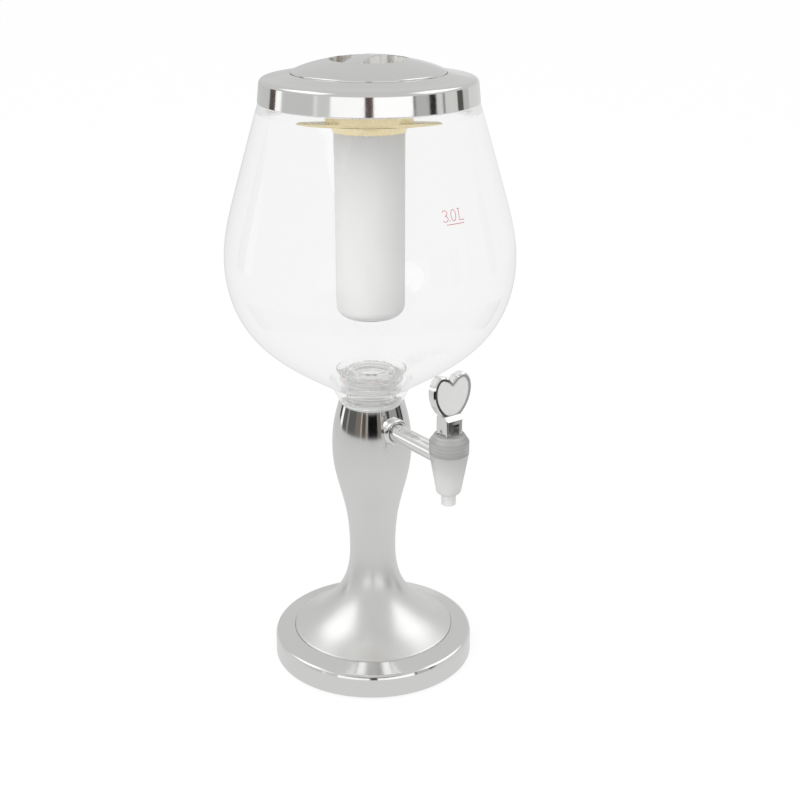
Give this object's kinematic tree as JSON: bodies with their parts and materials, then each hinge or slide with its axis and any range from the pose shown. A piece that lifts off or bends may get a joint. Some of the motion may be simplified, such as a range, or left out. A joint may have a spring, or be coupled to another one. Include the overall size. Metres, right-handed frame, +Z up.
{
  "type": "beer tower dispenser",
  "caption": "Goblet-shaped table-top drink tower: clear bowl with lift-off lid and ice tube, plated stem with side lever tap, weighted round base",
  "frame": {"origin": "on the stem's axis, in the plane that the feet and the centre pad stand on", "axes": "+Z up along the stem's axis, -Y the way the tap points, +X to its right when +Y is ahead"},
  "size_m": [0.2052, 0.2086, 0.455],
  "materials": {
    "plated_shell": "bright satin plating over moulded plastic",
    "plated_metal": "polished nickel-chrome plate on brass",
    "steel": "plain zinc-coated steel",
    "clear_plastic": "clear food-safe styrene copolymer",
    "frosted_plastic": "frosted translucent plastic",
    "smoke_plastic": "translucent grey plastic",
    "liner_plastic": "white food-safe polypropylene",
    "base_plastic": "black moulded plastic, fine grain",
    "gold_plate": "pale gold-tone anodised plate",
    "silicone": "soft white food-safe silicone",
    "black_rubber": "matt black rubber",
    "satin_face": "fine satin aluminium sheet"
  },
  "bodies": {
    "root": {"base_ring": "plated_shell", "base_plate": "base_plastic", "base_screws": "steel", "ballast_disc": "steel", "rubber_feet": "black_rubber", "stem_shell": "plated_shell", "tie_rod": "steel", "rod_nut": "steel", "rod_washer": "steel", "centre_pad": "black_rubber", "stem_liner": "liner_plastic", "bowl": "clear_plastic", "foot_gasket": "silicone", "bowl_washer": "silicone", "bowl_ring_nut": "clear_plastic", "tap_rosette": "plated_metal", "tap_shank": "plated_metal", "shank_spacer": "liner_plastic", "shank_gasket": "silicone", "shank_nut": "plated_metal", "tap_body": "frosted_plastic", "tap_spout": "frosted_plastic", "tap_bonnet": "smoke_plastic", "tap_diaphragm": "silicone", "valve_spring": "steel"},
    "lid": {"lid_shell": "plated_shell", "lid_cap": "plated_shell", "lid_liner": "liner_plastic", "lid_gasket": "silicone", "lid_screws": "steel", "tube_holder": "gold_plate", "holder_screws": "steel"},
    "tube": {"tube_flange": "gold_plate", "tube_collar": "gold_plate", "tube_seal": "silicone", "ice_tube": "frosted_plastic"},
    "plunger": {"valve_rod": "steel", "valve_cup": "silicone", "lever_pin": "steel"},
    "lever": {"lever": "plated_metal", "lever_inlays": "satin_face"}
  },
  "joints": [
    {"name": "lid_lift", "type": "slide", "parent": "root", "child": "lid", "axis": [0, 0, 1], "range_m": [0, 0.18]},
    {"name": "tube_twist", "type": "hinge", "parent": "lid", "child": "tube", "pos_m": [0, 0, 0.414], "axis": [0, 0, 1], "range_deg": [0, 90]},
    {"name": "plunger_lift", "type": "slide", "parent": "root", "child": "plunger", "axis": [0, 0, 1], "range_m": [0, 0.0028], "stiffness_N_per_m": 40, "springref_m": -0.003, "deforming": ["valve_spring"]},
    {"name": "lever_tilt", "type": "hinge", "parent": "plunger", "child": "lever", "pos_m": [0, -0.0922, 0.2145], "axis": [1, 0, 0], "range_deg": [0, 30]}
  ],
  "couplings": [
    {"joint": "plunger_lift", "follows": "lever_tilt", "m_per_rad": 0.0052}
  ]
}
